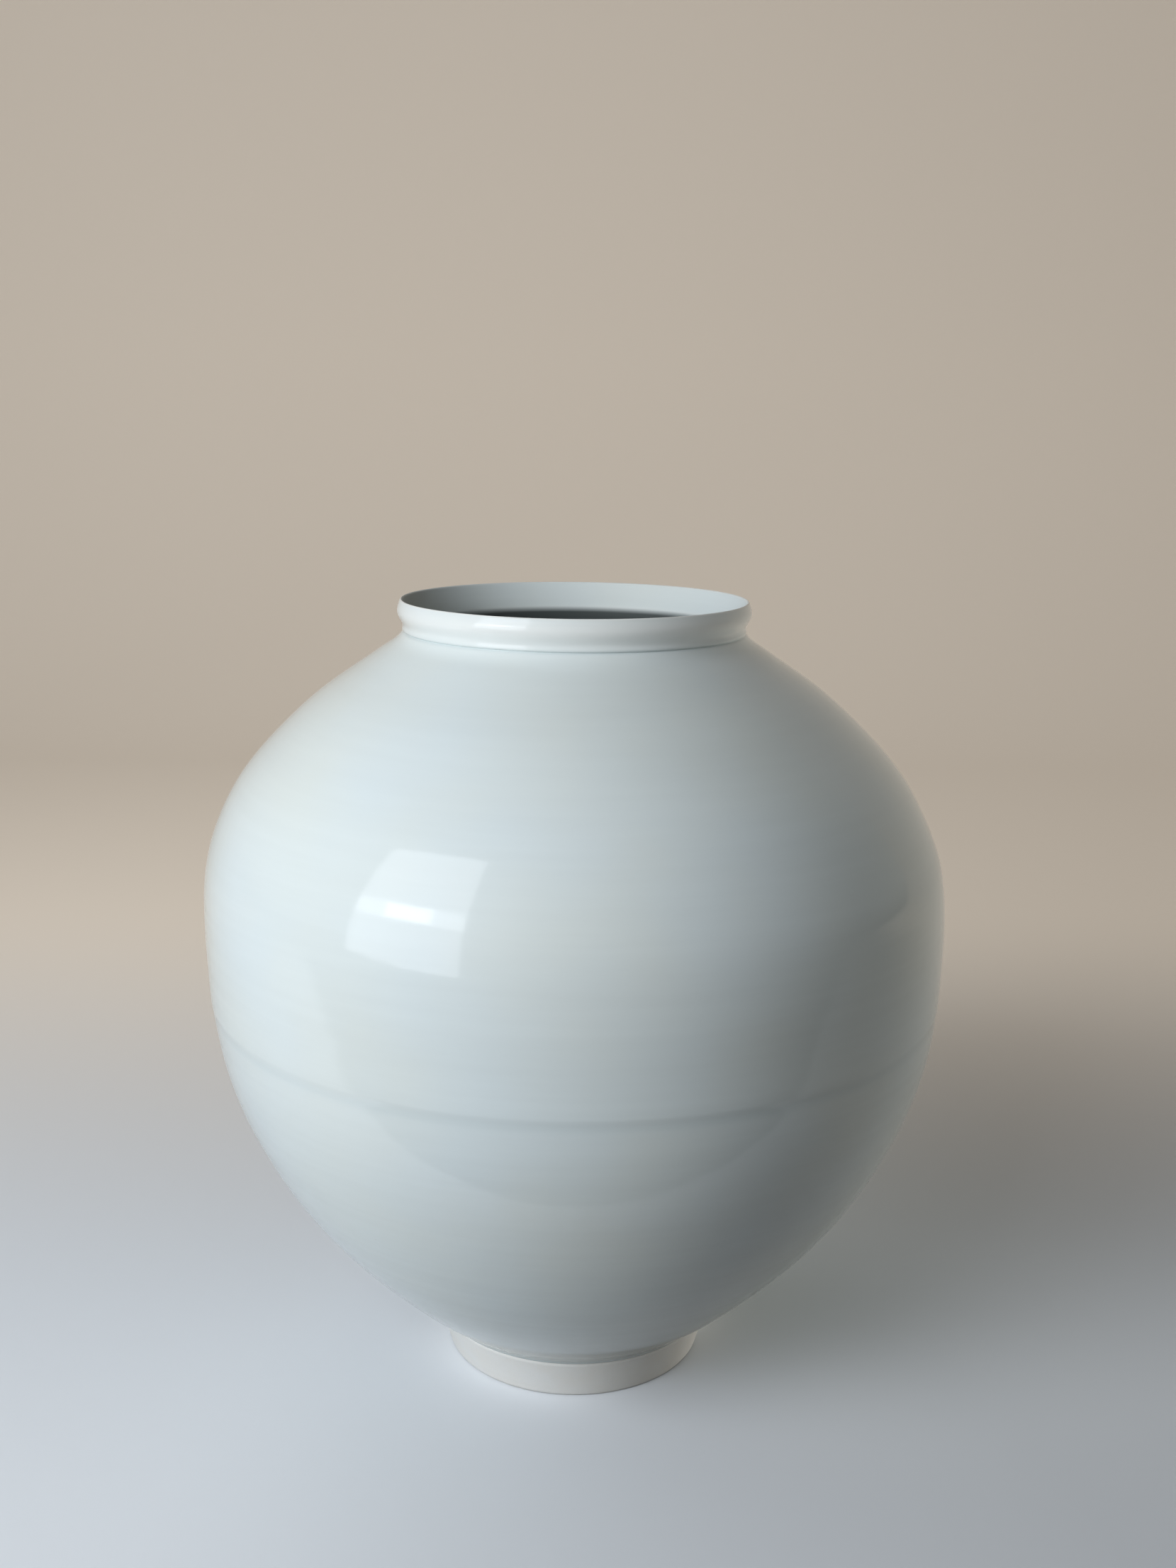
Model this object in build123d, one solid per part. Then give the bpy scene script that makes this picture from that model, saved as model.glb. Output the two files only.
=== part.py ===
from build123d import *
import os

# A moon jar: two thrown bowls luted rim to rim at the belly, with a foot ring and a mouth collar
# luted on, all of it glazed except the foot ring.
# Millimetres, Z up, origin in the middle of the face it stands on.

# Outline of the finished jar, glaze included
jar_height = 400.0
belly_radius = 189.2
belly_height = 245.0
seam_height = 204.0
base_radius = 74.5
foot_height = 22.5
neck_radius = 85.0
collar_height = 15.5

# Foot ring, set back under the edge of the bowl and tapering down to the floor
foot_setback = 1.3
foot_taper = 5.8
foot_wall_top = 16.0
foot_wall_rest = 12.4
foot_edge_round = 1.2
foot_glaze_line = 7.0

# Mouth collar, out from the neck groove
collar_bulge = 3.2
lip_flare = 1.2
lip_clay_width = 0.6
collar_wall = 6.0

# Walls, joints and glaze
floor_thickness = 12.0
wall_low = 10.0
wall_high = 6.5
neck_cut_edge = 4.6
glaze_thickness = 0.4
belly_slip_thickness = 1.2
neck_slip_thickness = 1.0
foot_slip_thickness = 1.0
foot_slip_recess = 0.8
coil_thickness = 4.0
coil_half_width = 9.0
cut_overrun = 5.0

# Outline of the lower bowl, as shares of the way from its base out and up to the belly
lower_radius_shares = [0.270, 0.517, 0.705, 0.840, 0.925, 0.980]
lower_height_shares = [0.124, 0.258, 0.393, 0.528, 0.650, 0.820]

# Outline of the upper bowl, as shares of the way from the belly in and up to the neck
upper_radius_shares = [0.052, 0.190, 0.394, 0.610, 0.815]
upper_height_shares = [0.251, 0.466, 0.645, 0.789, 0.896]

# Outline of the collar, as shares of the way from the neck out to the bulge and up to the lip
collar_radius_shares = [0.55, 1.0]
collar_height_shares = [0.27, 0.62]

# Places along the outline where the wall is measured, and the samples of a curve beside it
wall_shares = [0.13, 0.22, 0.33, 0.44, 0.55, 0.66, 0.77, 0.87, 0.95]
skin_samples = 16

# Points of the seam coil's face, as shares of the way up its back, so that its edges slope
coil_face_shares = [0.22, 0.5, 0.78]

neck_height = jar_height - collar_height
mouth_radius = neck_radius - collar_wall
throat_radius = mouth_radius + glaze_thickness
ceiling_height = neck_height - neck_cut_edge
lip_radius = neck_radius + lip_flare
lip_half_width = lip_clay_width / 2 + glaze_thickness
clay_top = jar_height - glaze_thickness
floor_height = foot_height + floor_thickness
foot_top_height = foot_height - foot_slip_thickness
foot_top_radius = base_radius - foot_setback
foot_rest_radius = foot_top_radius - foot_taper
foot_inner_top = foot_top_radius - foot_wall_top
foot_inner_rest = foot_rest_radius - foot_wall_rest


def at(radius, height):
    """A point of the jar's section."""
    return (radius, 0, height)


def between(low, high, share):
    """The value a share of the way from low to high."""
    return low + (high - low) * share


def turned(*edges):
    """The solid that a closed section makes, turned about the jar's axis."""
    return revolve(make_face(edges), Axis.Z)


def inside(curve, share, depth):
    """The point at a depth below the surface of a curve that climbs up the section."""
    along = curve % share
    return curve @ share - Vector(along.Z, 0, -along.X) * depth


def curve_inside(curve, depth, start, end):
    """A curve that keeps one depth below another, with its two ends given."""
    shares = [step / skin_samples for step in range(1, skin_samples)]
    points = [start] + [inside(curve, share, depth) for share in shares] + [end]
    return Spline(*points, tangents=(curve % 0, curve % 1))


def share_at(curve, height):
    """How far along a climbing curve, from 0 to 1, it passes a height."""
    low, high = 0.0, 1.0
    while (curve @ high).Z - (curve @ low).Z > glaze_thickness / skin_samples:
        middle = (low + high) / 2
        if (curve @ middle).Z > height:
            high = middle
        else:
            low = middle
    return low


def slab(low, high):
    """A flat disc wider than the jar, from one height to another."""
    disc = Cylinder(belly_radius + cut_overrun, high - low)
    return Pos(0, 0, (low + high) / 2) * disc


def jar_outline():
    """The glazed outside of both bowls, from the foot joint up to the neck."""
    points = [at(base_radius, foot_height)]
    for out, up in zip(lower_radius_shares, lower_height_shares):
        radius = between(base_radius, belly_radius, out)
        points.append(at(radius, between(foot_height, belly_height, up)))
    points.append(at(belly_radius, belly_height))
    for back, up in zip(upper_radius_shares, upper_height_shares):
        radius = between(belly_radius, neck_radius, back)
        points.append(at(radius, between(belly_height, neck_height, up)))
    points.append(at(neck_radius, neck_height))
    return Spline(*points)


def collar_outline():
    """The glazed outside of the collar, from the neck groove over the bulge to the lip."""
    points = [at(neck_radius, neck_height)]
    for out, up in zip(collar_radius_shares, collar_height_shares):
        radius = neck_radius + collar_bulge * out
        points.append(at(radius, between(neck_height, jar_height, up)))
    points.append(at(lip_radius + lip_half_width, jar_height))
    return Spline(*points)


def cavity_outline(skin):
    """The inside of both bowls, from the middle of the floor to the cut edge at the neck.

    A skin of glaze moves it towards the hollow.
    """
    points = [at(0, floor_height + skin)]
    for share in wall_shares:
        wall = between(wall_low, wall_high, share)
        points.append(inside(outline, share, glaze_thickness + wall + skin))
    points.append(at(throat_radius - skin, ceiling_height - skin / 2))
    return Spline(*points, tangents=(Vector(1, 0, 0), outline % 1))


def clay_walls():
    """The clay of both bowls and the slip in their joints as one hollow body, still uncut."""
    top = at(0, neck_height)
    bottom = at(0, foot_height)
    blank = turned(
        clay_outline,
        Line(clay_outline @ 1, top),
        Line(top, bottom),
        Line(bottom, clay_outline @ 0),
    )
    return blank - hollow(clay_cavity, throat_radius)


def hollow(curve, radius):
    """The space inside the bowls, up to the neck."""
    floor_middle = curve @ 0
    rim = at(radius, neck_height)
    top = at(0, neck_height)
    return turned(curve, Line(curve @ 1, rim), Line(rim, top), Line(top, floor_middle))


def coil(thickness, half_width):
    """A flat ring of clay up the inside wall at the belly seam, with sloped edges."""
    low = share_at(clay_cavity, seam_height - half_width)
    high = share_at(clay_cavity, seam_height + half_width)
    back = clay_cavity.trim(low, high)
    face = Spline(*[inside(back, share, thickness) for share in coil_face_shares])
    return turned(back, Line(back @ 1, face @ 1), face, Line(face @ 0, back @ 0))


def make_foot_ring():
    """The ring the jar stands on, narrower at the floor than at the bowl."""
    section = make_face(Polyline(
        at(foot_inner_rest, 0),
        at(foot_rest_radius, 0),
        at(foot_top_radius, foot_top_height),
        at(foot_inner_top, foot_top_height),
        close=True,
    ))
    ring = revolve(section, Axis.Z)
    rest_edges = ring.edges().group_by(Axis.Z)[0]
    return fillet(rest_edges, foot_edge_round)


def make_foot_luting_slip():
    """The slip between foot ring and lower bowl, drawn back from the outside as a fine groove."""
    section = make_face(Polyline(
        at(foot_inner_top, foot_top_height),
        at(foot_top_radius - foot_slip_recess, foot_top_height),
        at(foot_top_radius - foot_slip_recess, foot_height),
        at(foot_inner_top, foot_height),
        close=True,
    ))
    return revolve(section, Axis.Z)


def make_foot_well_glaze():
    """The glaze under the bowl inside the foot ring, with its skirt down the ring's inner wall."""
    skirt_share = foot_glaze_line / foot_top_height
    skirt_radius = between(foot_inner_rest, foot_inner_top, skirt_share)
    ceiling = foot_height - glaze_thickness
    section = make_face(Polyline(
        at(0, foot_height),
        at(foot_inner_top, foot_height),
        at(foot_inner_top, foot_top_height),
        at(skirt_radius, foot_glaze_line),
        at(skirt_radius - glaze_thickness, foot_glaze_line),
        at(foot_inner_top - glaze_thickness, ceiling),
        at(0, ceiling),
        close=True,
    ))
    return revolve(section, Axis.Z)


def make_mouth_collar():
    """The clay of the collar, thin at the lip and flared inside."""
    heel = at(throat_radius, neck_height)
    lip_inner = at(lip_radius - lip_clay_width / 2, clay_top)
    return turned(
        clay_collar,
        Line(clay_collar @ 1, lip_inner),
        Line(lip_inner, heel),
        Line(heel, clay_collar @ 0),
    )


def make_outer_glaze():
    """The glaze from the foot joint over both bowls and the collar to the middle of the lip."""
    lip_top = at(lip_radius, jar_height)
    lip_clay = at(lip_radius, clay_top)
    return turned(
        outline,
        rim_outline,
        Line(rim_outline @ 1, lip_top),
        Line(lip_top, lip_clay),
        Line(lip_clay, clay_collar @ 1),
        clay_collar,
        clay_outline,
        Line(clay_outline @ 0, outline @ 0),
    )


def make_inner_glaze():
    """The glaze from the middle of the lip down the collar and over the whole inside."""
    glazed_cavity = cavity_outline(glaze_thickness)
    lip_top = at(lip_radius, jar_height)
    lip_clay = at(lip_radius, clay_top)
    clay_points = [clay_cavity @ 1, at(throat_radius, neck_height)]
    clay_points += [at(lip_radius - lip_clay_width / 2, clay_top), lip_clay, lip_top]
    glazed_points = [at(lip_radius - lip_half_width, jar_height), at(mouth_radius, neck_height)]
    glazed_points.append(glazed_cavity @ 1)
    skin = turned(
        clay_cavity,
        Polyline(*clay_points, *glazed_points),
        glazed_cavity,
        Line(glazed_cavity @ 0, clay_cavity @ 0),
    )
    over_coil = coil(coil_thickness + glaze_thickness, coil_half_width + glaze_thickness)
    return skin + over_coil - seam_coil


outline = jar_outline()
rim_outline = collar_outline()
clay_outline = curve_inside(
    outline,
    glaze_thickness,
    at(base_radius - glaze_thickness, foot_height),
    at(neck_radius - glaze_thickness, neck_height),
)
clay_collar = curve_inside(
    rim_outline,
    glaze_thickness,
    at(neck_radius - glaze_thickness, neck_height),
    at(lip_radius + lip_clay_width / 2, clay_top),
)
clay_cavity = cavity_outline(0)

walls = clay_walls()
seam_low = seam_height - belly_slip_thickness / 2
seam_high = seam_height + belly_slip_thickness / 2
neck_joint = neck_height - neck_slip_thickness
seam_coil = coil(coil_thickness, coil_half_width)

parts = {
    "foot_ring": make_foot_ring(),
    "foot_luting_slip": make_foot_luting_slip(),
    "lower_bowl": walls & slab(foot_height, seam_low),
    "belly_luting_slip": walls & slab(seam_low, seam_high),
    "upper_bowl": walls & slab(seam_high, neck_joint),
    "neck_luting_slip": walls & slab(neck_joint, neck_height),
    "inner_seam_coil": seam_coil,
    "mouth_collar": make_mouth_collar(),
    "outer_glaze": make_outer_glaze(),
    "inner_glaze": make_inner_glaze(),
    "foot_well_glaze": make_foot_well_glaze(),
}

os.makedirs("parts", exist_ok=True)
for name, solid in parts.items():
    export_step(solid, f"parts/{name}.step")
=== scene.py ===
import math
import bpy
import numpy as np
from mathutils import Matrix, Vector


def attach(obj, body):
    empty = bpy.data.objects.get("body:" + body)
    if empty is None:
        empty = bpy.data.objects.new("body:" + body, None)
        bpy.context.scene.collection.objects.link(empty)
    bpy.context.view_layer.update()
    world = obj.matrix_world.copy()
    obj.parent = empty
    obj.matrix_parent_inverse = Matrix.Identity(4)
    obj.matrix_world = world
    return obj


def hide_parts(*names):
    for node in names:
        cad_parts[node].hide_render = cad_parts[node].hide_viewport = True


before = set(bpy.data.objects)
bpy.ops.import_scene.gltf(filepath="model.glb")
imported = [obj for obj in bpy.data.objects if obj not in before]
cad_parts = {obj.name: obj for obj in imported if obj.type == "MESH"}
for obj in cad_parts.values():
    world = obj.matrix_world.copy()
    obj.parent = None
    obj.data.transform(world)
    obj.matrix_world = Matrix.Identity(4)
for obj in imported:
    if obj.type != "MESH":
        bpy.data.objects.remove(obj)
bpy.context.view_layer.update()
mm = 0.001
print("frame loaded with", len(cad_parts), "nodes")

# Moon jar: two thrown bowls luted at the belly, glazed all over except the foot ring.
# Sections are (radius, height) in mm, as a potter would measure the finished jar.

camera = {
    # metres and degrees, lens and sensor in mm
    "place": (0.0, -0.8129, 0.4865),
    "yaw": 0.32,
    "pitch": 12.56,
    "roll": 0.67,
    "lens": 37.43,
    "sensor": 36.0,  # for the long side of the picture
}


def addCamera():
    bpy.ops.object.camera_add()
    made = bpy.context.object
    made.name = "photoCamera"
    made.data.lens = camera["lens"]
    made.data.sensor_width = camera["sensor"]
    turn = Matrix.Rotation(math.radians(-camera["yaw"]), 4, "Z")
    tilt = Matrix.Rotation(math.radians(90 - camera["pitch"]), 4, "X")
    lean = Matrix.Rotation(math.radians(camera["roll"]), 4, "Z")
    made.matrix_world = Matrix.Translation(camera["place"]) @ turn @ tilt @ lean
    bpy.context.scene.camera = made


bpy.ops.object.select_all(action="DESELECT")
addCamera()
print("camera stands where the photograph was taken")


def smoothLine(knots, step):
    # a natural cubic through the knots, cut into steps of nearly equal length
    knots = np.array(knots, float)
    along = np.concatenate([[0], np.cumsum(np.hypot(*np.diff(knots, axis=0).T))])
    gap = np.diff(along)
    count = len(knots)
    pull = np.eye(count)
    load = np.zeros((count, 2))
    for i in range(1, count - 1):
        pull[i, i - 1:i + 2] = gap[i - 1], 2 * (gap[i - 1] + gap[i]), gap[i]
        slopes = (knots[i + 1] - knots[i]) / gap[i] - (knots[i] - knots[i - 1]) / gap[i - 1]
        load[i] = 6 * slopes
    bend = np.linalg.solve(pull, load)
    pieces = max(int(round(along[-1] / step)), 2)
    spots = np.linspace(0, along[-1], pieces + 1)
    span = np.clip(np.searchsorted(along, spots, side="right") - 1, 0, count - 2)
    left = (spots - along[span])[:, None]
    right = (along[span + 1] - spots)[:, None]
    width = gap[span][:, None]
    curve = (bend[span] * right ** 3 + bend[span + 1] * left ** 3) / (6 * width)
    curve += (knots[span] / width - bend[span] * width / 6) * right
    return curve + (knots[span + 1] / width - bend[span + 1] * width / 6) * left


def sunk(line, depth):
    # the line moved to its left by a depth that may change along it
    way = np.gradient(line, axis=0)
    way /= np.hypot(*way.T)[:, None]
    return line + np.stack([-way[:, 1], way[:, 0]], axis=1) * np.reshape(depth, (-1, 1))


def crossing(line, height):
    # the point where a line that climbs or falls steadily passes a height
    order = np.argsort(line[:, 1])
    return np.array([np.interp(height, line[order, 1], line[order, 0]), height])


cutGap = 0.05  # mm: a point nearer to a cut than this is left out


def between(line, low, high):
    # the part of a climbing line between two heights, cut exactly there
    kept = line[(line[:, 1] > low + cutGap) & (line[:, 1] < high - cutGap)]
    return np.vstack([crossing(line, low), kept, crossing(line, high)])


jar = {
    # outside of the glaze, from the foot joint to the middle of the lip
    "foot edge": [(73.0, 22.5), (73.7, 22.2), (74.5, 22.4), (75.1, 23.1)],
    "bowls": [
        (76.6, 24.9), (83.5, 30.5), (105.3, 50.0), (133.4, 80.0), (154.8, 110.0),
        (170.3, 140.0), (179.4, 165.0), (183.8, 185.0), (186.2, 205.0), (187.3, 225.0),
        (187.6, 245.0), (186.4, 264.0), (182.9, 280.0), (176.9, 295.0), (168.7, 310.0),
        (147.7, 335.0), (125.4, 355.0), (103.9, 370.0), (94.2, 376.6),
    ],
    "neck groove": [(89.0, 380.3), (86.7, 382.7), (85.5, 383.95), (85.0, 384.5)],
    "collar": [
        (85.45, 384.75), (85.75, 385.3), (85.7, 386.1), (85.55, 387.0), (85.6, 387.9),
        (86.1, 389.2), (87.2, 391.2), (88.0, 393.2), (88.15, 394.8), (87.95, 396.2),
        (87.45, 397.8), (86.95, 399.1), (86.65, 399.75), (86.2, 400.0),
    ],
    # inside of the glaze, from the middle of the lip down to the cut edge of the neck
    "throat": [
        (86.2, 400.0), (85.7, 399.8), (85.25, 399.2), (84.3, 397.4), (82.6, 394.2),
        (80.7, 390.6), (79.6, 388.3), (79.1, 386.8), (78.95, 385.0), (79.0, 382.0),
        (79.3, 380.3),
    ],
    "cut edge": (80.6, 379.2),
    "floor": 34.9,
    "walled": (24.9, 372.0),  # heights between which the wall is measured
    "wall places": (0.12, 0.97, 12),  # first and last share of the way up, and how many
    "wall low": 10.0,
    "wall high": 6.5,
    "glaze": 0.4,
    "exact step": 0.02,  # of the curves that the sections are picked from
    "axis gap": 0.4,  # the second point of the floor lies further out than this
    # lengths of the faces up the section, and how many stand round the jar
    "fine step": 1.45,
    "seam step": 0.6,
    "seam zone": (197, 209),
    "edge step": 0.4,
    "edge zones": (26, 381),  # below the first height and above the second
    "hidden step": 7.0,
    "hidden edge step": 1.2,
    "hidden edge zones": (30, 376),
    "inside steps": [(379, 0.5), (365, 2.0), (0, 6.0)],  # above each height, its step
    "columns": 160,
    "hidden columns": 96,
}
heights = {
    # where the clay pieces meet
    "seam low": 203.4,
    "seam high": 204.6,
    "neck slip": 383.5,
    "neck": 384.5,
    "lip edge": 399.3,
}

glaze = jar["glaze"]
wholeKnots = jar["foot edge"] + jar["bowls"] + jar["neck groove"] + jar["collar"]
wholeLine = smoothLine(wholeKnots, jar["exact step"])


def thinned(line, stepAt):
    # points of a very fine line, each as far from the last as the place asks for
    kept = [line[0]]
    gone = 0.0
    for a, b in zip(line[:-1], line[1:]):
        gone += math.dist(a, b)
        if gone >= stepAt(b):
            kept.append(b)
            gone = 0.0
    if math.dist(kept[-1], line[-1]) < 0.5 * stepAt(line[-1]):
        kept.pop()
    return np.vstack(kept + [line[-1]])


def fineStep(point):
    footEnd, neckStart = jar["edge zones"]
    if point[1] < footEnd or point[1] > neckStart:
        return jar["edge step"]
    seamStart, seamEnd = jar["seam zone"]
    return jar["seam step"] if seamStart < point[1] < seamEnd else jar["fine step"]


def hiddenStep(point):
    footEnd, neckStart = jar["hidden edge zones"]
    small = point[1] < footEnd or point[1] > neckStart
    return jar["hidden edge step"] if small else jar["hidden step"]


outside = thinned(wholeLine, fineStep)
clayOutside = sunk(thinned(wholeLine, hiddenStep), glaze)

# the inside of both bowls follows the outside at the depth of the wall
bodyLine = between(wholeLine, *jar["walled"])
shares = np.linspace(*jar["wall places"])
spots = (shares * (len(bodyLine) - 1)).astype(int)
picked = bodyLine[spots]
wall = jar["wall low"] + (jar["wall high"] - jar["wall low"]) * shares
way = bodyLine[spots + 1] - picked
way /= np.hypot(*way.T)[:, None]
cavity = picked + np.stack([-way[:, 1], way[:, 0]], axis=1) * (wall + 2 * glaze)[:, None]
mirrored = [(-r, z) for r, z in cavity[1::-1]]  # they keep the middle of the floor level
cavityKnots = mirrored + [(0.0, jar["floor"])] + [tuple(p) for p in cavity] + [jar["cut edge"]]
throatKnots = jar["throat"][::-1]
cavityLine = smoothLine(cavityKnots, jar["exact step"])
cavityLine = cavityLine[cavityLine[:, 0] > jar["axis gap"]]
throatLine = smoothLine(throatKnots, jar["exact step"])
insideLine = np.vstack([[(0.0, jar["floor"])], cavityLine, throatLine])


def insideStep(point):
    return next(step for height, step in jar["inside steps"] if point[1] > height)


inside = thinned(insideLine, insideStep)
clayInside = sunk(thinned(insideLine, hiddenStep), -glaze)
clayInside[0] = (0.0, jar["floor"] - glaze)
print("section has", len(outside), "points outside and", len(inside), "inside")


# what the hand leaves on the jar: rings, the seam and a lean to one side
seam = {
    "height": 204.0,
    # how far the surface stands out at heights over and under the seam, in mm
    "away": [-20, -13, -8, -5, -3, -1.2, 0, 1.2, 4, 9, 16],
    "out": [0.0, -0.02, -0.05, -0.07, -0.03, 0.11, 0.21, 0.20, 0.15, 0.08, 0.0],
    "eased": 0.035,
}
rings = {
    # spacing and depth in mm, turns of the phase round the jar, start of the phase
    "waves": [
        (4.3, 0.0040, 1, 0.3),
        (6.7, 0.0080, 1, 2.1),
        (10.9, 0.0110, -2, 4.4),
        (17.0, 0.0200, 1, 1.2),
        (29.0, 0.0450, -1, 5.0),
        (47.0, 0.0700, 1, 2.7),
    ],
    "steady": 0.65,  # share of the depth that is always there, the rest swells and fades
    "swell": 2.9,  # ring spacings in which that turns by one radian
    "fade": ([27, 52, 359, 377], [0, 1, 1, 0]),  # heights, and how much of the rings is left
    "still": 20,  # nothing stands out nearer to the axis than this
}
lean = {
    "height": [0, 100, 180, 215, 250, 270, 300, 345, 400],
    "aside": [0.0, 0.0, -0.5, -1.0, -1.35, -1.9, -2.8, -3.1, -3.1],
    "eased": 0.06,
}


def easedTable(at, places, values, share):
    # values eased over a share of the whole, so that the surface shows no facets
    count = 400
    fine = np.linspace(places[0], places[-1], count)
    raw = np.interp(fine, places, values)
    width = max(int(count * share), 3) | 1
    weights = np.hanning(width + 2)[1:-1]
    padded = np.pad(raw, width // 2, mode="edge")
    return np.interp(at, fine, np.convolve(padded, weights / weights.sum(), "valid"))


def handled(points):
    # moves every point, in mm, as the potter's hand and the kiln did
    radius = np.hypot(points[:, 0], points[:, 1])
    angle = np.arctan2(points[:, 1], points[:, 0])
    height = points[:, 2]
    steady, swell = rings["steady"], rings["swell"]
    out = np.zeros(len(points))
    for spacing, depth, turns, start in rings["waves"]:
        wave = np.sin(height / (swell * spacing) + 2 * start + angle)
        uneven = steady + (1 - steady) * wave
        out += depth * uneven * np.sin(2 * math.pi * height / spacing + turns * angle + start)
    out *= np.interp(height, *rings["fade"])
    out += easedTable(height - seam["height"], seam["away"], seam["out"], seam["eased"])
    grown = np.where(radius > rings["still"], (radius + out) / np.maximum(radius, 1e-6), 1.0)
    moved = points * np.stack([grown, grown, np.ones(len(points))], axis=1)
    moved[:, 0] += easedTable(height, lean["height"], lean["aside"], lean["eased"])
    return moved


wheel = {"merge mm": 0.002, "smooth under": 40}  # the second in degrees


def turnedPiece(name, section, columns):
    # a vertex is drawn along the section and spun once round the jar's axis
    section = [tuple(p) for p in section]
    onAxis = section[0][0] == 0 and section[-1][0] == 0
    start = (section[0][0] * mm, 0, section[0][1] * mm)
    bpy.ops.object.select_all(action="DESELECT")
    bpy.ops.mesh.primitive_plane_add(size=mm, location=start)
    piece = bpy.context.object
    piece.name = name
    piece.data.name = name
    bpy.ops.object.transform_apply(location=True)
    bpy.ops.object.mode_set(mode="EDIT")
    bpy.ops.mesh.select_all(action="SELECT")
    bpy.ops.mesh.merge(type="CENTER")
    for (r0, z0), (r1, z1) in zip(section[:-1], section[1:]):
        step = ((r1 - r0) * mm, 0, (z1 - z0) * mm)
        bpy.ops.mesh.extrude_region_move(TRANSFORM_OT_translate={"value": step})
    if not onAxis:
        bpy.ops.object.mode_set(mode="OBJECT")
        for vertex in piece.data.vertices:
            vertex.select = vertex.index in (0, len(section) - 1)
        bpy.ops.object.mode_set(mode="EDIT")
        bpy.ops.mesh.edge_face_add()
    bpy.ops.mesh.select_all(action="SELECT")
    bpy.ops.mesh.spin(steps=columns, angle=2 * math.pi, center=(0, 0, 0), axis=(0, 0, 1))
    bpy.ops.mesh.select_all(action="SELECT")
    bpy.ops.mesh.remove_doubles(threshold=wheel["merge mm"] * mm)
    bpy.ops.mesh.normals_make_consistent(inside=False)
    bpy.ops.object.mode_set(mode="OBJECT")
    count = len(piece.data.vertices)
    points = np.zeros(3 * count)
    piece.data.vertices.foreach_get("co", points)
    points = handled(points.reshape(-1, 3) / mm) * mm
    piece.data.vertices.foreach_set("co", points.ravel())
    piece.data.update()
    bpy.ops.object.shade_smooth_by_angle(angle=math.radians(wheel["smooth under"]))
    return piece


def linear(code):
    # an sRGB hex value as linear red, green, blue and full alpha
    parts = [int(code[i:i + 2], 16) / 255 for i in (1, 3, 5)]
    return tuple(c / 12.92 if c <= 0.04045 else ((c + 0.055) / 1.055) ** 2.4 for c in parts) + (1,)


def addNode(tree, kind, settings=None, links=None):
    # settings name sockets or properties, links name input sockets and where they come from
    node = tree.nodes.new(kind)
    for key, value in (settings or {}).items():
        if isinstance(key, int) or key in node.inputs:
            node.inputs[key].default_value = value
        else:
            setattr(node, key, value)
    for key, source in (links or {}).items():
        tree.links.new(source, node.inputs[key])
    return node


def newMaterial(name):
    made = bpy.data.materials.new(name)
    made.use_nodes = True
    tree = made.node_tree
    tree.nodes.clear()
    return made, tree


porcelainGlaze = {
    "milk": "#dbe6e8",  # even, faintly green white
    "cream": "#dde5e2",  # where the glaze is a little warmer
    "pool": "#c6d4d6",  # thick glaze in grooves
    "thin glaze and collar sheen": "#ecefec",  # glaze drawn thin over an edge, and over the collar a painted sheen as well
    "cloud mm": 85.0,
    "band mm": 5.0,
    "band run mm": 111.1,
    "band light": (0.984, 1.012),  # from the darkest band to the lightest
    "orange peel mm": 2.6,
    "orange peel deep mm": 0.012,
    "turning mm": 1.5,
    "turning run mm": 71.4,
    "turning deep mm": 0.006,
    "pinhole": "#9d9a8d",
    "pinhole mm": 9.0,  # from one place for a pinhole to the next
    "pinhole share": 0.07,  # of the places that have one
    "pinhole edge": 0.035,  # its soft edge and its core, in parts of the distance between them
    "pinhole core": 0.018,
    "pinhole strength": 0.35,
    "painted inside shade": "#4f5554",  # painted shade: the inside of the jar below the throat, darkened as if in its own dark
    "roughness outside": (0.07, 0.105),
    "roughness inside": (0.45, 0.55),
}


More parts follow.
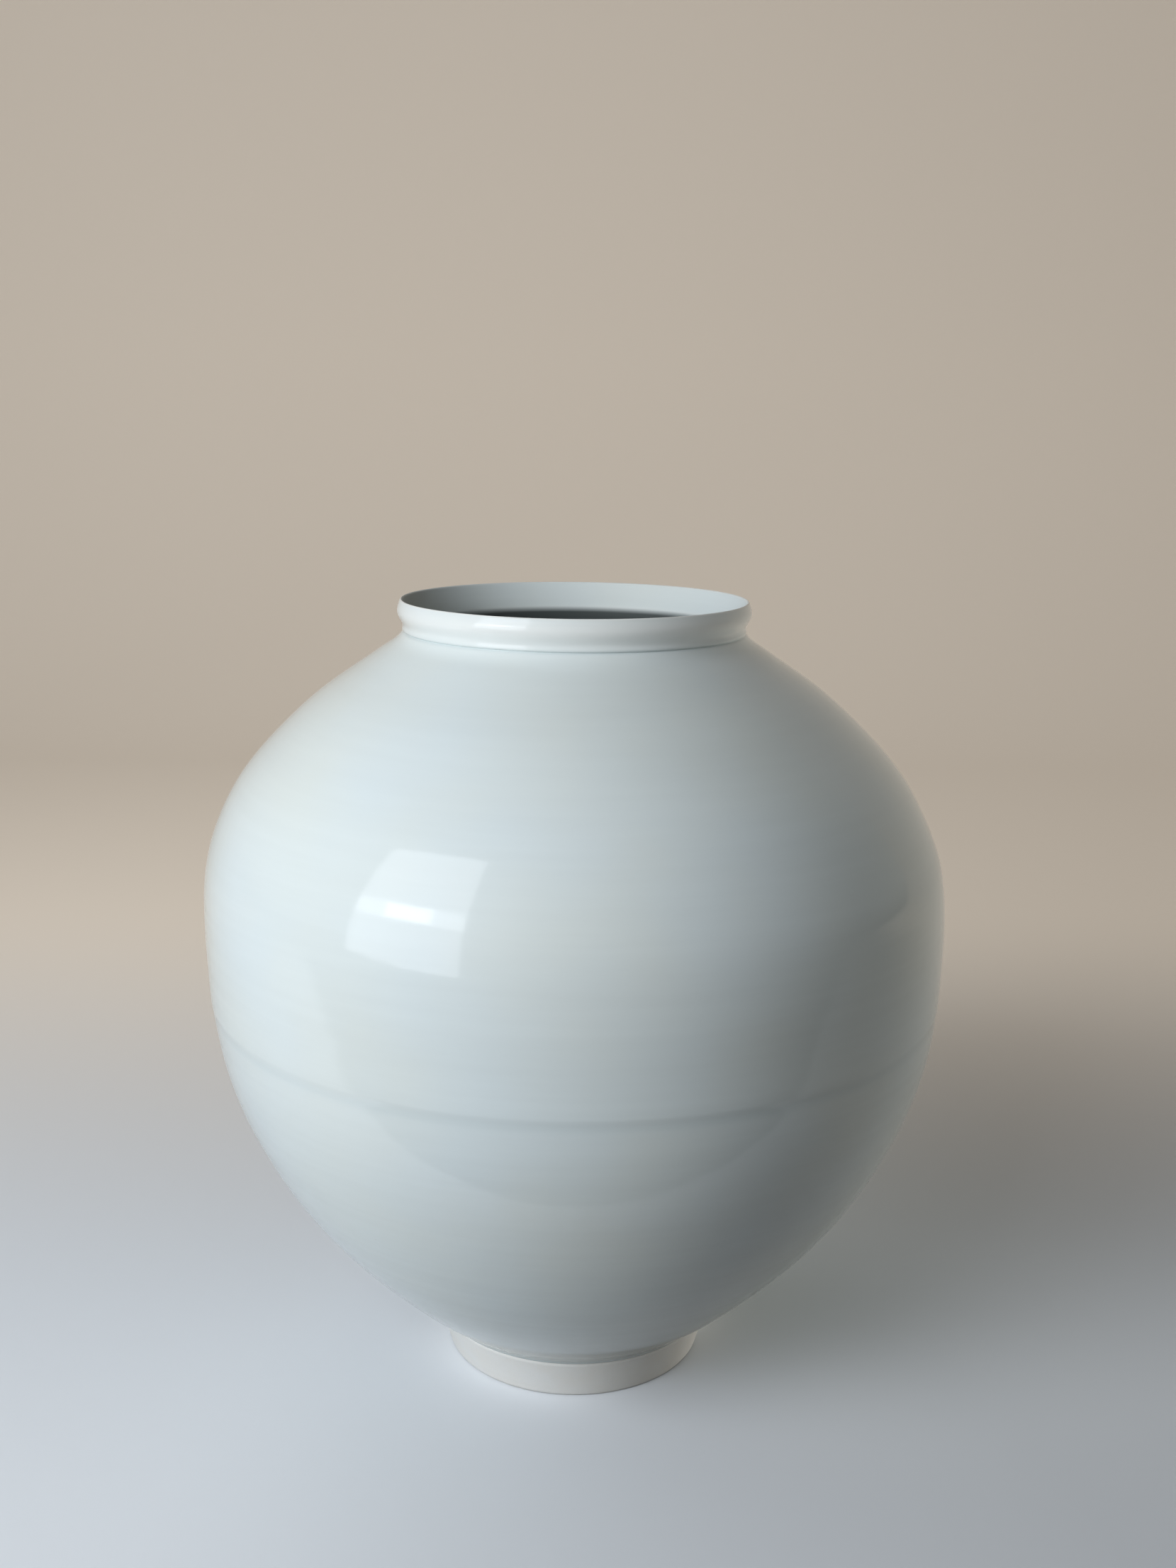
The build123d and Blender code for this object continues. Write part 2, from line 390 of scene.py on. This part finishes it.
def makePorcelainGlaze(name, smooth, dull):
    # clear feldspar glaze over white porcelain, poured and fired: a wet, slightly soft gloss
    made, tree = newMaterial(name)
    spot = addNode(tree, "ShaderNodeTexCoord").outputs["Object"]
    g = porcelainGlaze

    clouds = addNode(tree, "ShaderNodeTexNoise",
                     {"Scale": 1 / (g["cloud mm"] * mm), "Detail": 2.0, "Roughness": 0.45},
                     {"Vector": spot})
    bandRun = 1 / (g["band run mm"] * mm)
    stretched = addNode(tree, "ShaderNodeMapping",
                        {"Scale": (bandRun, bandRun, 1 / (g["band mm"] * mm))},
                        {"Vector": spot})
    bands = addNode(tree, "ShaderNodeTexNoise",
                    {"Scale": 1.0, "Detail": 3.0, "Roughness": 0.55},
                    {"Vector": stretched.outputs["Vector"]})
    tone = addNode(tree, "ShaderNodeMapRange",
                   {"From Min": 0.3, "From Max": 0.7}, {"Value": clouds.outputs["Fac"]})
    body = addNode(tree, "ShaderNodeMix",
                   {"data_type": "RGBA", 6: linear(g["milk"]), 7: linear(g["cream"])},
                   {0: tone.outputs["Result"]})

    lines = addNode(tree, "ShaderNodeMapRange",
                    {"From Min": 0.25, "From Max": 0.75, "To Min": g["band light"][0],
                     "To Max": g["band light"][1]},
                    {"Value": bands.outputs["Fac"]})
    banded = addNode(tree, "ShaderNodeVectorMath", {"operation": "SCALE"},
                     {0: body.outputs[2], "Scale": lines.outputs["Result"]})

    thick = addNode(tree, "ShaderNodeAttribute", {"attribute_name": "glazePool"})
    # glaze drawn thin over edges, and a painted sheen over the collar
    thin = addNode(tree, "ShaderNodeAttribute", {"attribute_name": "glazeThinAndSheen"})
    # painted shade deep inside the jar, below the throat
    deep = addNode(tree, "ShaderNodeAttribute", {"attribute_name": "paintedInsideShade"})
    pooled = addNode(tree, "ShaderNodeMix", {"data_type": "RGBA", 7: linear(g["pool"])},
                     {0: thick.outputs["Fac"], 6: banded.outputs["Vector"]})
    thinnedAndSheened = addNode(tree, "ShaderNodeMix", {"data_type": "RGBA", 7: linear(g["thin glaze and collar sheen"])},
                     {0: thin.outputs["Fac"], 6: pooled.outputs[2]})
    insideShaded = addNode(tree, "ShaderNodeMix", {"data_type": "RGBA", 7: linear(g["painted inside shade"])},
                    {0: deep.outputs["Fac"], 6: thinnedAndSheened.outputs[2]})

    cells = addNode(tree, "ShaderNodeTexVoronoi",
                    {"Scale": 1 / (g["pinhole mm"] * mm), "Randomness": 1.0}, {"Vector": spot})
    few = addNode(tree, "ShaderNodeSeparateColor", None, {"Color": cells.outputs["Color"]})
    chosen = addNode(tree, "ShaderNodeMath",
                     {"operation": "GREATER_THAN", 1: 1 - g["pinhole share"]},
                     {0: few.outputs["Red"]})
    near = addNode(tree, "ShaderNodeMapRange",
                   {"From Min": g["pinhole edge"], "From Max": g["pinhole core"]},
                   {"Value": cells.outputs["Distance"]})
    speck = addNode(tree, "ShaderNodeMath", {"operation": "MULTIPLY"},
                    {0: chosen.outputs["Value"], 1: near.outputs["Result"]})
    faint = addNode(tree, "ShaderNodeMath", {"operation": "MULTIPLY", 1: g["pinhole strength"]},
                    {0: speck.outputs["Value"]})
    colour = addNode(tree, "ShaderNodeMix", {"data_type": "RGBA", 7: linear(g["pinhole"])},
                     {0: faint.outputs["Value"], 6: insideShaded.outputs[2]})

    peel = addNode(tree, "ShaderNodeTexNoise",
                   {"Scale": 1 / (g["orange peel mm"] * mm), "Detail": 1.5, "Roughness": 0.4},
                   {"Vector": spot})
    turnRun = 1 / (g["turning run mm"] * mm)
    ringWay = addNode(tree, "ShaderNodeMapping",
                      {"Scale": (turnRun, turnRun, 1 / (g["turning mm"] * mm))},
                      {"Vector": spot})
    turning = addNode(tree, "ShaderNodeTexNoise",
                      {"Scale": 1.0, "Detail": 2.0, "Roughness": 0.5},
                      {"Vector": ringWay.outputs["Vector"]})
    peelUp = addNode(tree, "ShaderNodeMath",
                     {"operation": "MULTIPLY", 1: g["orange peel deep mm"] * mm},
                     {0: peel.outputs["Fac"]})
    turnUp = addNode(tree, "ShaderNodeMath",
                     {"operation": "MULTIPLY_ADD", 1: g["turning deep mm"] * mm},
                     {0: turning.outputs["Fac"], 2: peelUp.outputs["Value"]})
    relief = addNode(tree, "ShaderNodeBump", {"Strength": 1.0, "Distance": 1.0},
                     {"Height": turnUp.outputs["Value"]})

    gloss = addNode(tree, "ShaderNodeMapRange",
                    {"From Min": 0.3, "From Max": 0.7, "To Min": smooth, "To Max": dull},
                    {"Value": clouds.outputs["Fac"]})
    surface = addNode(tree, "ShaderNodeBsdfPrincipled", {"IOR": 1.5, "Metallic": 0.0},
                      {"Base Color": colour.outputs[2], "Roughness": gloss.outputs["Result"],
                       "Normal": relief.outputs["Normal"]})
    addNode(tree, "ShaderNodeOutputMaterial", None, {"Surface": surface.outputs["BSDF"]})
    return made


barePorcelain = {
    "clay": "#f2f4f2",
    "warm": "#f1f1ec",  # flashed a little creamier in the fire
    "grain mm": 0.7,
    "grain deep mm": 0.02,
    "grain light": (0.975, 1.015),  # from the darkest grain to the lightest
    "turning mm": 0.9,
    "turning run mm": 50.0,
    "turning deep mm": 0.012,
    "patch mm": 28.0,
    "roughness": 0.6,
}
firedClay = {"clay": "#cfcfc9", "warm": "#c9c8c0", "roughness": 0.75}


def makeBarePorcelain(name, tones):
    # unglazed porcelain, turned and fired: dry, fine and matt
    made, tree = newMaterial(name)
    p = barePorcelain
    spot = addNode(tree, "ShaderNodeTexCoord").outputs["Object"]
    patches = addNode(tree, "ShaderNodeTexNoise",
                      {"Scale": 1 / (p["patch mm"] * mm), "Detail": 3.0, "Roughness": 0.6},
                      {"Vector": spot})
    tone = addNode(tree, "ShaderNodeMapRange",
                   {"From Min": 0.35, "From Max": 0.65}, {"Value": patches.outputs["Fac"]})
    toned = addNode(tree, "ShaderNodeMix",
                    {"data_type": "RGBA", 6: linear(tones["clay"]), 7: linear(tones["warm"])},
                    {0: tone.outputs["Result"]})
    grain = addNode(tree, "ShaderNodeTexNoise",
                    {"Scale": 1 / (p["grain mm"] * mm), "Detail": 3.0, "Roughness": 0.6},
                    {"Vector": spot})
    turnRun = 1 / (p["turning run mm"] * mm)
    ringWay = addNode(tree, "ShaderNodeMapping",
                      {"Scale": (turnRun, turnRun, 1 / (p["turning mm"] * mm))},
                      {"Vector": spot})
    turning = addNode(tree, "ShaderNodeTexNoise", {"Scale": 1.0, "Detail": 2.0},
                      {"Vector": ringWay.outputs["Vector"]})
    speckle = addNode(tree, "ShaderNodeMapRange",
                      {"From Min": 0.2, "From Max": 0.8, "To Min": p["grain light"][0],
                       "To Max": p["grain light"][1]},
                      {"Value": grain.outputs["Fac"]})
    colour = addNode(tree, "ShaderNodeVectorMath", {"operation": "SCALE"},
                     {0: toned.outputs[2], "Scale": speckle.outputs["Result"]})
    grainUp = addNode(tree, "ShaderNodeMath",
                      {"operation": "MULTIPLY", 1: p["grain deep mm"] * mm},
                      {0: grain.outputs["Fac"]})
    turnUp = addNode(tree, "ShaderNodeMath",
                     {"operation": "MULTIPLY_ADD", 1: p["turning deep mm"] * mm},
                     {0: turning.outputs["Fac"], 2: grainUp.outputs["Value"]})
    relief = addNode(tree, "ShaderNodeBump", {"Strength": 1.0, "Distance": 1.0},
                     {"Height": turnUp.outputs["Value"]})
    surface = addNode(tree, "ShaderNodeBsdfPrincipled",
                      {"IOR": 1.5, "Metallic": 0.0, "Roughness": tones["roughness"]},
                      {"Base Color": colour.outputs["Vector"],
                       "Normal": relief.outputs["Normal"]})
    addNode(tree, "ShaderNodeOutputMaterial", None, {"Surface": surface.outputs["BSDF"]})
    return made


# poured over the outside and fired: full and wet, so it mirrors the window sharply
glazeMaterial = makePorcelainGlaze("clearGlazeOnPorcelain", *porcelainGlaze["roughness outside"])
# poured in, drained and fired: thin, so the inside is duller and mirrors nothing sharply
insideMaterial = makePorcelainGlaze("thinGlazeInside", *porcelainGlaze["roughness inside"])
# trimmed on the wheel and fired bare: matt and slightly creamy, with fine lathe marks
footMaterial = makeBarePorcelain("turnedBarePorcelain", barePorcelain)
# thrown and fired under the glaze: pale, dry and a little greyer, seen only in a cut
clayMaterial = makeBarePorcelain("firedPorcelainClay", firedClay)
print("materials are made")


def bell(value, middle, width):
    # 1 at the middle, fading to nothing on both sides
    return np.exp(-((value - middle) / width) ** 2)


def markGlaze(piece, poolAt, thinAndSheenAt, insideShadeAt=None):
    # where the glaze lies thick, where it lies thin and carries a painted sheen on the collar, and
    # where shade is painted deep inside, as attributes of the mesh
    count = len(piece.data.vertices)
    points = np.zeros(3 * count)
    piece.data.vertices.foreach_get("co", points)
    height = points.reshape(-1, 3)[:, 2] / mm
    for name, places in (("glazePool", poolAt), ("glazeThinAndSheen", thinAndSheenAt)):
        amount = sum(share * bell(height, middle, width) for middle, width, share in places)
        attribute = piece.data.attributes.new(name, "FLOAT", "POINT")
        attribute.data.foreach_set("value", np.clip(amount, 0, 1).astype(np.float32))
    attribute = piece.data.attributes.new("paintedInsideShade", "FLOAT", "POINT")
    amount = np.interp(height, *insideShadeAt) if insideShadeAt else 0 * height
    attribute.data.foreach_set("value", amount.astype(np.float32))


def finishPiece(piece, node, material):
    # its material, and what it stands for in the frame
    piece.data.materials.append(material)
    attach(piece, "root")
    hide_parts(node)


outerGlaze = {
    # height, width and strength of each band where the glaze lies thick, where it lies thin, and
    # where a sheen is painted on the collar
    "pool": [(384.5, 0.8, 0.8), (200.0, 2.6, 0.25), (23.0, 0.9, 0.5)],
    # at 400, glaze drawn thin over the lip; at 393, a painted sheen that lightens the whole collar
    "thin": [(400.0, 0.5, 0.7), (393.0, 7.0, 0.8)],
}
shell = np.vstack([outside, clayOutside[::-1]])
piece = turnedPiece("outerGlaze", shell, jar["columns"])
markGlaze(piece, outerGlaze["pool"], outerGlaze["thin"])
finishPiece(piece, "outer_glaze", glazeMaterial)
print("outer glaze is done:", len(piece.data.polygons), "faces")

innerGlaze = {
    "pool": [(35.0, 1.2, 0.6), (380.0, 0.8, 0.4)],
    "thin": [(400.0, 0.5, 0.7), (387.2, 0.9, 0.3)],
    "deep": ([372, 381, 384.5, 387.5], [0.15, 1, 1, 0]),  # heights, and how much painted shade lies there
}
shell = np.vstack([inside, clayInside[::-1]])
piece = turnedPiece("innerGlaze", shell, jar["columns"])
markGlaze(piece, innerGlaze["pool"], innerGlaze["thin"], innerGlaze["deep"])
finishPiece(piece, "inner_glaze", insideMaterial)
print("inner glaze is done:", len(piece.data.polygons), "faces")

clayCavity = clayInside[1:]
lipMiddle = clayOutside[-1]


def clayPiece(name, node, section):
    made = turnedPiece(name, section, jar["hidden columns"])
    finishPiece(made, node, clayMaterial)


def wallSection(low, high):
    # the clay from the inside to the outside between two heights
    outer = between(clayOutside, low, high)
    inner = between(clayCavity, low, high)
    return np.vstack([inner, outer[::-1]])


collarSection = np.vstack([
    between(clayCavity, heights["neck"], heights["lip edge"]), [lipMiddle],
    between(clayOutside, heights["neck"], heights["lip edge"])[::-1],
])
clayPiece("mouthCollar", "mouth_collar", collarSection)
clayPiece("neckSlip", "neck_luting_slip", wallSection(heights["neck slip"], heights["neck"]))
clayPiece("upperBowl", "upper_bowl", wallSection(heights["seam high"], heights["neck slip"]))
clayPiece("bellySlip", "belly_luting_slip", wallSection(heights["seam low"], heights["seam high"]))

# height where its outside starts, then the corners and the middle of its base
lowerBowl = {"start": 23.2, "base": [(73.0, 22.5), (57.2, 22.5), (0.0, 22.5)]}
lowerOuter = between(clayOutside, lowerBowl["start"], heights["seam low"])
lowerInner = clayInside[clayInside[:, 1] < heights["seam low"] - cutGap]
lowerSection = np.vstack([
    lowerInner, [crossing(clayCavity, heights["seam low"])], lowerOuter[::-1],
    lowerBowl["base"],
])
clayPiece("lowerBowl", "lower_bowl", lowerSection)
print("clay bowls, collar and slip are done")

foot = {
    # sections of the ring, of the slip over it and of the glaze in the recess
    "ring": [
        (55.9, 0.0), (66.5, 0.0), (67.15, 0.3), (67.6, 0.95), (69.2, 6.6), (71.0, 13.0),
        (72.7, 19.4), (72.85, 20.3), (72.6, 21.0), (72.0, 21.4), (71.6, 21.5), (57.2, 21.5),
        (56.5, 14.0), (55.4, 2.5), (55.15, 0.9), (55.4, 0.3),
    ],
    "slip": [(57.2, 21.5), (71.6, 21.5), (72.2, 22.5), (57.2, 22.5)],
    "well": [
        (0.0, 22.5), (57.2, 22.5), (57.2, 21.5), (55.9, 7.2), (55.75, 7.0), (55.5, 7.25),
        (56.6, 20.6), (56.1, 21.7), (54.9, 22.05), (40.0, 22.1), (20.0, 22.1), (0.0, 22.1),
    ],
    "ring step": 0.8,
    "well step": 4.0,
    "well pool": [(22.0, 0.6, 0.4)],
    "well thin": [(7.2, 0.6, 0.6)],
}


def divided(points, step):
    # straight runs cut into short ones, so that the turned rings have room for the lathe marks
    made = []
    closing = points[0][0] != 0
    ends = points[1:] + (points[:1] if closing else [])
    for (r0, z0), (r1, z1) in zip(points, ends):
        count = max(int(math.hypot(r1 - r0, z1 - z0) / step), 1)
        made += [(r0 + (r1 - r0) * k / count, z0 + (z1 - z0) * k / count) for k in range(count)]
    return made if closing else made + [points[-1]]


piece = turnedPiece("footRing", divided(foot["ring"], foot["ring step"]), jar["columns"])
finishPiece(piece, "foot_ring", footMaterial)
clayPiece("footSlip", "foot_luting_slip", foot["slip"])
piece = turnedPiece("footWellGlaze", divided(foot["well"], foot["well step"]), jar["columns"])
markGlaze(piece, foot["well pool"], foot["well thin"])
finishPiece(piece, "foot_well_glaze", glazeMaterial)
print("foot ring and its glaze are done")

# slope: where its face has points, as shares of its height, so that both edges slope
coil = {"low": 195.0, "high": 213.0, "thick": 4.0, "slope": [0.22, 0.5, 0.78]}
back = between(clayCavity, coil["low"], coil["high"])
rise = coil["high"] - coil["low"]
face = []
for share in coil["slope"]:
    r, z = crossing(clayCavity, coil["low"] + rise * share)
    face.append((r - coil["thick"], z))
clayPiece("seamCoil", "inner_seam_coil", np.vstack([back, face[::-1]]))
print("coil behind the seam is done")


stage = {
    "floor": "#eef3f8",
    # what the floor throws back at the jar as light, with a painted shade so that much less comes
    # from the side away from the window
    "floor bounce": "#d6dee6",
    "floor shade": "#7c7a75",
    "shaded": (-0.32, 0.12),  # from here to here along X
    "back": "#e6ddd0",
    "back glow": "#8f867b",  # a little light of its own, so that the wall stays pale
    "turns back": (0.0, 0.8),  # floor colour to wall colour, from here to here along Y
    # metres: edges of the floor, radius of the sweep, height of the wall, half of the width
    "near": -1.3,
    "edge": -0.27,  # the jar is lit and mirrored only by the top behind this line
    "far": 1.5,
    "rise": 0.6,
    "tall": 2.6,
    "wide": 4.0,
    "sweep steps": 16,
}


def makePaper():
    # matt studio paper, cool on the floor and warmer up the wall
    made, tree = newMaterial("palePaper")
    spot = addNode(tree, "ShaderNodeTexCoord").outputs["Object"]
    parts = addNode(tree, "ShaderNodeSeparateXYZ", None, {"Vector": spot})
    share = addNode(tree, "ShaderNodeMapRange",
                    {"interpolation_type": "SMOOTHSTEP", "From Min": stage["turns back"][0],
                     "From Max": stage["turns back"][1]},
                    {"Value": parts.outputs["Y"]})
    shade = addNode(tree, "ShaderNodeMapRange",
                    {"interpolation_type": "SMOOTHSTEP", "From Min": stage["shaded"][0],
                     "From Max": stage["shaded"][1]},
                    {"Value": parts.outputs["X"]})
    base = addNode(tree, "ShaderNodeMix",
                   {"data_type": "RGBA", 6: linear(stage["floor bounce"]),
                    7: linear(stage["floor shade"])}, {0: shade.outputs["Result"]})
    paths = addNode(tree, "ShaderNodeLightPath").outputs
    looked = addNode(tree, "ShaderNodeMath", {"operation": "ADD", "use_clamp": True},
                     {0: paths["Is Camera Ray"], 1: paths["Is Glossy Ray"]})
    floor = addNode(tree, "ShaderNodeMix", {"data_type": "RGBA", 7: linear(stage["floor"])},
                    {0: looked.outputs["Value"], 6: base.outputs[2]})
    colour = addNode(tree, "ShaderNodeMix", {"data_type": "RGBA", 7: linear(stage["back"])},
                     {0: share.outputs["Result"], 6: floor.outputs[2]})
    glow = addNode(tree, "ShaderNodeMath", {"operation": "MULTIPLY"},
                   {0: looked.outputs["Value"], 1: share.outputs["Result"]})
    surface = addNode(tree, "ShaderNodeBsdfPrincipled",
                      {"Roughness": 0.8, "IOR": 1.3, "Emission Color": linear(stage["back glow"])},
                      {"Base Color": colour.outputs[2],
                       "Emission Strength": glow.outputs["Value"]})
    addNode(tree, "ShaderNodeOutputMaterial", None, {"Surface": surface.outputs["BSDF"]})
    return made


def flatFloor(name, low, high):
    bpy.ops.object.select_all(action="DESELECT")
    bpy.ops.mesh.primitive_plane_add(size=1, location=(0, (low + high) / 2, 0))
    floor = bpy.context.object
    floor.name = name
    floor.scale = (2 * stage["wide"], high - low, 1)
    bpy.ops.object.transform_apply(location=True, scale=True)
    floor.data.materials.append(paper)
    return floor


def sweepUp(floor):
    # the floor's far edge drawn out into a quarter round and a wall
    for element in (floor.data.polygons, floor.data.edges):
        for item in element:
            item.select = False
    for vertex in floor.data.vertices:
        vertex.select = vertex.co.y > stage["far"] - 0.01
    for edge in floor.data.edges:
        edge.select = all(floor.data.vertices[i].select for i in edge.vertices)
    bpy.ops.object.mode_set(mode="EDIT")
    steps = stage["sweep steps"]
    rise = stage["rise"]
    for k in range(steps):
        a, b = (math.pi / 2 * (k + i) / steps for i in (0, 1))
        way = (0, rise * (math.sin(b) - math.sin(a)), rise * (math.cos(a) - math.cos(b)))
        bpy.ops.mesh.extrude_region_move(TRANSFORM_OT_translate={"value": way})
    up = (0, 0, stage["tall"])
    bpy.ops.mesh.extrude_region_move(TRANSFORM_OT_translate={"value": up})
    bpy.ops.object.mode_set(mode="OBJECT")
    bpy.ops.object.shade_smooth()


paper = makePaper()
sweep = flatFloor("floorSweep", stage["edge"], stage["far"])
sweepUp(sweep)
front = flatFloor("floorFront", stage["near"], stage["edge"])
front.visible_diffuse = False
front.visible_glossy = False

lights = {
    # az: degrees round the jar from the front; far, aside, middle: metres from the jar's axis,
    # to the side and up; tip: degrees that it looks down; radiance: its brightness, whatever
    # its size; shiny: whether the glaze mirrors it
    "window": {"az": -31, "far": 1.2, "aside": -0.37, "middle": 0.79, "wide": 0.80,
               "high": 1.22, "tip": 0, "radiance": 2.2, "colour": (0.95, 1.0, 1.08),
               "shiny": True},
    "windowBand": {"az": -31, "far": 1.19, "aside": -0.37, "middle": 0.685, "wide": 0.80,
                   "high": 0.14, "tip": 0, "radiance": 1.8, "colour": (0.95, 1.0, 1.05),
                   "shiny": True},
    "windowSpot": {"az": -31, "far": 1.18, "aside": -0.34, "middle": 0.68, "wide": 0.32,
                   "high": 0.12, "tip": 0, "radiance": 3.6, "colour": (0.95, 1.0, 1.04),
                   "shiny": True},
    "windowGlow": {"az": -26, "far": 1.2, "aside": -0.28, "middle": 0.86, "wide": 1.0,
                   "high": 1.0, "tip": 8, "radiance": 3.75, "colour": (0.99, 1.0, 1.02),
                   "shiny": False},
    "rightRim": {"az": 120, "far": 1.6, "aside": 0.0, "middle": 0.12, "wide": 1.2,
                 "high": 0.22, "tip": 0, "radiance": 16.0, "colour": (1.05, 1.0, 0.92),
                 "shiny": False},
    "backFill": {"az": -150, "far": 1.0, "aside": 0.0, "middle": 1.2, "wide": 0.8,
                 "high": 0.8, "tip": 40, "radiance": 1.0, "colour": (1.0, 1.0, 1.0),
                 "shiny": False},
}
room = {
    "dim": 0.06,
    "tint": (1.04, 1.0, 0.92, 1),
    "mirrored": 0.2,  # how much more the glaze sees of the room behind the jar
    "behind": (0.0, 0.5),  # where that starts and is full, as the Y of a direction
    "horizon": 0.08,  # it fades to dark from this much over the horizon to this much under it
    "seen": "#cfc8be",
}


def addLight(name, lamp):
    turn = Matrix.Rotation(math.radians(lamp["az"]), 4, "Z")
    stand = Matrix.Rotation(math.radians(90 - lamp["tip"]), 4, "X")
    place = turn @ Vector((lamp["aside"], -lamp["far"], lamp["middle"]))
    bpy.ops.object.light_add(type="AREA")
    light = bpy.context.object
    light.name = name
    light.data.shape = "RECTANGLE"
    light.data.size = lamp["wide"]
    light.data.size_y = lamp["high"]
    light.data.color = lamp["colour"]
    light.data.energy = lamp["radiance"] * lamp["wide"] * lamp["high"] * math.pi
    light.matrix_world = Matrix.Translation(place) @ turn @ stand
    light.visible_camera = False
    light.visible_glossy = lamp["shiny"]


def spareFloor(light):
    # floor and wall aren't lit by this lamp, so the glaze mirrors no patch of light beside the jar
    spared = bpy.data.collections.new("floorSpared")
    for part in (sweep, front):
        spared.objects.link(part)
    for entry in spared.collection_objects:
        entry.light_linking.link_state = "EXCLUDE"
    light.light_linking.receiver_collection = spared


for name, lamp in lights.items():
    addLight(name, lamp)
spareFloor(bpy.data.objects["rightRim"])


def makeWorld():
    # a dim room round the jar, and a plain pale one for the camera alone
    world = bpy.data.worlds.new("studio")
    bpy.context.scene.world = world
    world.use_nodes = True
    tree = world.node_tree
    tree.nodes.clear()
    way = addNode(tree, "ShaderNodeTexCoord").outputs["Generated"]
    parts = addNode(tree, "ShaderNodeSeparateXYZ", None, {"Vector": way})
    above = addNode(tree, "ShaderNodeMapRange",
                    {"From Min": -room["horizon"], "From Max": room["horizon"]},
                    {"Value": parts.outputs["Z"]})
    behind = addNode(tree, "ShaderNodeMapRange",
                     {"interpolation_type": "SMOOTHSTEP", "From Min": room["behind"][0],
                      "From Max": room["behind"][1], "To Max": room["mirrored"]},
                     {"Value": parts.outputs["Y"]})
    path = addNode(tree, "ShaderNodeLightPath")
    level = addNode(tree, "ShaderNodeMath", {"operation": "MULTIPLY_ADD", 2: room["dim"]},
                    {0: path.outputs["Is Glossy Ray"], 1: behind.outputs["Result"]})
    strength = addNode(tree, "ShaderNodeMath", {"operation": "MULTIPLY"},
                       {0: above.outputs["Result"], 1: level.outputs["Value"]})
    dim = addNode(tree, "ShaderNodeBackground", {"Color": room["tint"]},
                  {"Strength": strength.outputs["Value"]})
    pale = addNode(tree, "ShaderNodeBackground", {"Color": linear(room["seen"]), "Strength": 1.0})
    both = addNode(tree, "ShaderNodeMixShader", None,
                   {0: path.outputs["Is Camera Ray"], 1: dim.outputs["Background"],
                    2: pale.outputs["Background"]})
    addNode(tree, "ShaderNodeOutputWorld", None, {"Surface": both.outputs["Shader"]})


makeWorld()
print("stage and light are set")

view = bpy.context.scene.view_settings
view.view_transform = "Standard"
